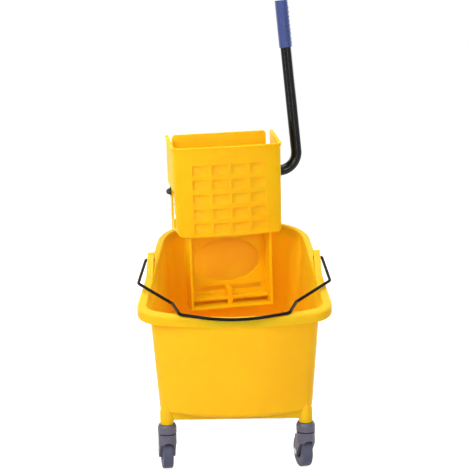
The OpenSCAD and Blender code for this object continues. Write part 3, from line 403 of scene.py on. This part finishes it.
# Caster posts: feet with a bore for the stem, run up into the corners and cut away inside the tub
POST_R, POST_Z, POST_TOP, POST_EDGE = 13.0, 93.0, 136.0, 1
STEM_R, STEM_DEPTH = 5.56, 20
FRONT_POST, REAR_POST = (132, 57), (97, 355)
POST_PROFILE = [
    (STEM_R, POST_Z + STEM_DEPTH),
    (STEM_R, POST_Z),
    (POST_R - POST_EDGE, POST_Z),
    (POST_R, POST_Z + POST_EDGE),
    (POST_R, FLOOR_Z),
    (POST_R * 0.97, FLOOR_Z + 3),
    (POST_R * 0.5, POST_TOP),
]
cavity = skin("cavity_tool", [
    level_ring(inset(BODY_LOW, TUB_T * 0.5), FLOOR_Z - TUB_T * 0.5),
    rim_ring(inset(BODY_TOP, TUB_T * 0.5), -APRON_H),
])
for x, y in (FRONT_POST, REAR_POST):
    for side in (-1, 1):
        post = lathe("bucket_post", POST_PROFILE, place(x * side, y, 0))
        combine(post, "DIFFERENCE", cavity)
        tub_additions.append(post)
bpy.data.objects.remove(cavity)


def prism(name, loops, low, high, along):
    """A plate between two places along an axis, from its outer edge and a hole with as many points."""
    bm = bmesh.new()
    near = [[bm.verts.new(along(u, v, low)) for u, v in loop] for loop in loops]
    far = [[bm.verts.new(along(u, v, high)) for u, v in loop] for loop in loops]
    n = len(loops[0])
    for loop_near, loop_far in zip(near, far):
        for i in range(n):
            k = (i + 1) % n
            bm.faces.new((loop_near[i], loop_near[k], loop_far[k], loop_far[i]))
    for outer, inner in (near, far):
        for i in range(n):
            k = (i + 1) % n
            bm.faces.new((outer[i], outer[k], inner[k], inner[i]))
    return new_object(name, bm, smooth=False)


# Skirt between the posts
SKIRT_LOW, SKIRT_HIGH, SKIRT_EDGE = 102.0, 117.0, 0.8
SKIRT_OUTER = [(-133.5, 50), (133.5, 50), (98.5, 356.5), (-98.5, 356.5)]
SKIRT_INNER = [(-130.5, 53), (130.5, 53), (95.5, 353.5), (-95.5, 353.5)]
skirt = prism("bucket_skirt", [SKIRT_OUTER, SKIRT_INNER], SKIRT_LOW, SKIRT_HIGH, place)
bevel(skirt, SKIRT_EDGE)
tub_additions.append(skirt)

# Bail ears: a rounded boss with the wire's hole, a slope down to the flange and a rib over the apron
PIVOT_Y, PIVOT_RISE, PIN_R = 233.0, 9.5, 3.06
EAR_R, EAR_FAIR, EAR_IN, EAR_OUT, EAR_EDGE = 15.0, 78.0, 159.34, 171.84, 1.6
RIB_HALF, RIB_DROP, RIB_TOP = 9, 50.0, 16.3
PIVOT_Z = rim_z(PIVOT_Y) + PIVOT_RISE
FAIR_Z = rim_z(PIVOT_Y - EAR_FAIR) - PIVOT_Z
arc = [math.radians(5 * i) for i in range(25)]
ear_edge = [Vector((EAR_R * math.cos(a), EAR_R * math.sin(a))) for a in arc]
ear_edge.append(Vector((-EAR_FAIR, FAIR_Z)))
ear_edge.append(Vector((-EAR_FAIR, FAIR_Z - FLANGE_T)))
ear_edge.append(Vector((-EAR_R, -RIB_TOP)))
ear_edge.append(Vector((-RIB_HALF, -RIB_DROP)))
ear_edge.append(Vector((RIB_HALF, -RIB_DROP)))


def ear_reach(angle):
    """Distance from the wire's hole to the ear's edge in a direction."""
    ray = Vector((math.cos(angle), math.sin(angle)))
    for a, b in zip(ear_edge, ear_edge[1:] + ear_edge[:1]):
        d = b - a
        cross = ray.cross(d)
        if abs(cross) > 1e-9:
            t, u = a.cross(d) / cross, a.cross(ray) / cross
            if t > 0 and -1e-6 <= u <= 1 + 1e-6:
                return t
    return EAR_R


turns = [math.atan2(p.y, p.x) % (2 * math.pi) for p in ear_edge]
turns = sorted(turns + [math.radians(120 + 10 * i) for i in range(1, 24) if abs(i - 8) > 1])
boss = []
hole = []
for a in turns:
    reach = ear_reach(a)
    boss.append((PIVOT_Y + reach * math.cos(a), PIVOT_Z + reach * math.sin(a)))
    hole.append((PIVOT_Y + PIN_R * math.cos(a), PIVOT_Z + PIN_R * math.sin(a)))
for side in (-1, 1):
    ear = prism("bucket_ear", [boss, hole], EAR_IN * side, EAR_OUT * side, lambda u, v, w: place(w, u, v))
    bevel(ear, EAR_EDGE, 3)
    tub_additions.append(ear)

# One closed moulding: posts, skirt and ears are fused to the tub in one step
SHARP_ANGLE = 32
bm = bmesh.new()
for piece in tub_additions:
    bm.from_mesh(applied(piece))
    bpy.data.objects.remove(piece)
added = bpy.data.meshes.new("additions")
bm.to_mesh(added)
bm.free()
additions = bpy.data.objects.new("additions", added)
scene.collection.objects.link(additions)
combine(tub, "UNION", additions, own=True)
bpy.data.objects.remove(additions)
tub.data.set_sharp_from_angle(angle=math.radians(SHARP_ANGLE))
paint(tub, yellow)
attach(tub, "bucket")
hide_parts("bucket")

# Camera at the photograph's place, in millimetres, with its focal length in the photograph's pixels
CAMERA_X, CAMERA_Y, CAMERA_Z = 3.0, -2316.0, 885.0
LOOK_DOWN, ROLL = 10.25, -0.9
FOCAL_PX, PHOTO_PX, SENSOR = 1300.0, 470.0, 36.0
cam = bpy.data.cameras.new("camera")
cam.sensor_width = SENSOR
cam.lens = SENSOR * FOCAL_PX / PHOTO_PX
camera = bpy.data.objects.new("camera", cam)
camera.matrix_world = (
    Matrix.Translation(place(CAMERA_X, CAMERA_Y, CAMERA_Z))
    @ Matrix.Rotation(math.radians(90 - LOOK_DOWN), 4, "X")
    @ Matrix.Rotation(math.radians(ROLL), 4, "Z")
)
scene.collection.objects.link(camera)
scene.camera = camera

# Stage: a white floor and world, with soft lamps
FLOOR_HALF, FLOOR_TONE, FLOOR_GLOW = 6.0, 0.55, 0.8
WORLD_LIGHT, WORLD_WHITE = 0.28, 1.0


def direct_view(tree):
    """One where the background is seen, in a mirror or through glass too, and nought where it only lights."""
    path = tree.nodes.new("ShaderNodeLightPath")
    total = path.outputs["Is Camera Ray"]
    for kind in ("Is Glossy Ray", "Is Transmission Ray"):
        either = tree.nodes.new("ShaderNodeMath")
        either.operation = "MAXIMUM"
        tree.links.new(total, either.inputs[0])
        tree.links.new(path.outputs[kind], either.inputs[1])
        total = either.outputs["Value"]
    return total


bm = bmesh.new()
bmesh.ops.create_grid(bm, x_segments=1, y_segments=1, size=FLOOR_HALF)
floor = new_object("floor", bm)
mat, tree, shader = principled("floor_white")
shader.inputs["Base Color"].default_value = (FLOOR_TONE, FLOOR_TONE, FLOOR_TONE, 1)
shader.inputs["Roughness"].default_value = 0.9
glow = tree.nodes.new("ShaderNodeEmission")
glow.inputs["Color"].default_value = (1, 1, 1, 1)
share = tree.nodes.new("ShaderNodeMath")
share.operation = "MULTIPLY"
share.inputs[1].default_value = FLOOR_GLOW
tree.links.new(direct_view(tree), share.inputs[0])
tree.links.new(share.outputs["Value"], glow.inputs["Strength"])
both = tree.nodes.new("ShaderNodeAddShader")
tree.links.new(shader.outputs["BSDF"], both.inputs[0])
tree.links.new(glow.outputs["Emission"], both.inputs[1])
tree.links.new(both.outputs["Shader"], tree.nodes["Material Output"].inputs["Surface"])
floor.data.materials.append(mat)

world = bpy.data.worlds.new("studio")
scene.world = world
world.use_nodes = True
tree = world.node_tree
background = tree.nodes["Background"]
background.inputs["Color"].default_value = (1, 1, 1, 1)
level = tree.nodes.new("ShaderNodeMapRange")
level.inputs["To Min"].default_value = WORLD_LIGHT
level.inputs["To Max"].default_value = WORLD_WHITE
tree.links.new(direct_view(tree), level.inputs["Value"])
tree.links.new(level.outputs["Result"], background.inputs["Strength"])


def lamp(name, at, aim, size, power):
    """A flat lamp: places and sizes in metres, power in watts."""
    light = bpy.data.lights.new(name, "AREA")
    light.shape = "RECTANGLE"
    light.size, light.size_y = size
    light.energy = power
    obj = bpy.data.objects.new(name, light)
    obj.location = at
    obj.rotation_euler = (Vector(aim) - Vector(at)).to_track_quat("-Z", "Y").to_euler()
    scene.collection.objects.link(obj)


lamp("key", (-1.5, -2.1, 2.1), (0, 0, 0.4), (0.9, 0.9), 29)
lamp("fill", (1.9, -1.8, 1.2), (0, 0, 0.35), (1.6, 1.8), 3)
lamp("top", (0.1, 0.3, 2.6), (0, 0.05, 0.4), (1.6, 1.6), 33)
lamp("back_left", (-1.7, 1.7, 1.3), (0, 0, 0.3), (1.4, 1.4), 26)
lamp("back_right", (1.7, 1.7, 1.3), (0, 0, 0.3), (1.4, 1.4), 26)
lamp("front", (-0.2, -3.0, 1.25), (0, 0.1, 0.4), (1.0, 0.8), 19)
lamp("strip_left", (-1.14, -0.81, 0.8), (0.12, 0.18, 0.7), (0.06, 1.3), 4.5)
lamp("strip_right", (0.94, -2.07, 0.8), (0.12, 0.18, 0.7), (0.09, 1.3), 7)

scene.view_settings.view_transform = "Standard"
